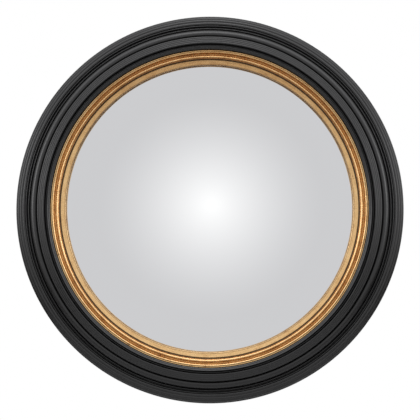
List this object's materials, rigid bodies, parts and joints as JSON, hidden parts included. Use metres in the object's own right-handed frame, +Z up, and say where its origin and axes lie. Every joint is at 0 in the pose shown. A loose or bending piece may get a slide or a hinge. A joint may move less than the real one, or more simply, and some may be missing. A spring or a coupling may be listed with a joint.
{
  "type": "convex wall mirror",
  "caption": "Round convex wall mirror in a stepped black turned frame with a gilded slip, a backboard held by turn buttons, and a keyhole hanger.",
  "frame": {"origin": "axis of the keyhole hanger's entry hole, in the plane of the wall that the pads rest on; the frame's flat back face is 6 mm in front of it", "axes": "+Z up, +Y into the wall, so the mirror faces -Y; +X to the right when seen from in front"},
  "size_m": [0.535, 0.0545, 0.535],
  "materials": {
    "black_lacquer": "satin black lacquer on turned fibreboard",
    "gilding": "metal leaf on turned wood",
    "mirror_glass": "polished, silvered behind",
    "felt": "pressed felt",
    "rubber": "matt",
    "foam": "closed-cell foam",
    "fibreboard": "raw medium-density fibreboard",
    "hardboard": "brown hardboard, meshed face outwards",
    "brass": "brushed",
    "zinc_steel": "zinc plated"
  },
  "bodies": {
    "frame": {"back_ring": "black_lacquer", "front_ring": "black_lacquer", "gilt_slip": "gilding", "mirror_glass": "mirror_glass", "glazing_felt": "felt", "setting_blocks": "rubber", "foam_ring": "foam", "packing_ring": "fibreboard", "backboard": "hardboard", "turn_button_screws": "brass", "hanger_plate": "zinc_steel", "hanger_screws": "zinc_steel", "ring_screws": "zinc_steel", "wall_pads": "felt"},
    "button_1": {"turn_button_1": "brass"},
    "button_2": {"turn_button_2": "brass"},
    "button_3": {"turn_button_3": "brass"},
    "button_4": {"turn_button_4": "brass"},
    "button_5": {"turn_button_5": "brass"},
    "button_6": {"turn_button_6": "brass"}
  },
  "joints": [
    {"name": "button_1_turn", "type": "hinge", "parent": "frame", "child": "button_1", "pos_m": [0.217, -0.0053, -0.232], "axis": [0, 1, 0], "continuous": true},
    {"name": "button_2_turn", "type": "hinge", "parent": "frame", "child": "button_2", "pos_m": [0.1085, -0.0053, -0.04407], "axis": [0, 1, 0], "continuous": true},
    {"name": "button_3_turn", "type": "hinge", "parent": "frame", "child": "button_3", "pos_m": [-0.1085, -0.0053, -0.04407], "axis": [0, 1, 0], "continuous": true},
    {"name": "button_4_turn", "type": "hinge", "parent": "frame", "child": "button_4", "pos_m": [-0.217, -0.0053, -0.232], "axis": [0, 1, 0], "continuous": true},
    {"name": "button_5_turn", "type": "hinge", "parent": "frame", "child": "button_5", "pos_m": [-0.1085, -0.0053, -0.41993], "axis": [0, 1, 0], "continuous": true},
    {"name": "button_6_turn", "type": "hinge", "parent": "frame", "child": "button_6", "pos_m": [0.1085, -0.0053, -0.41993], "axis": [0, 1, 0], "continuous": true}
  ]
}
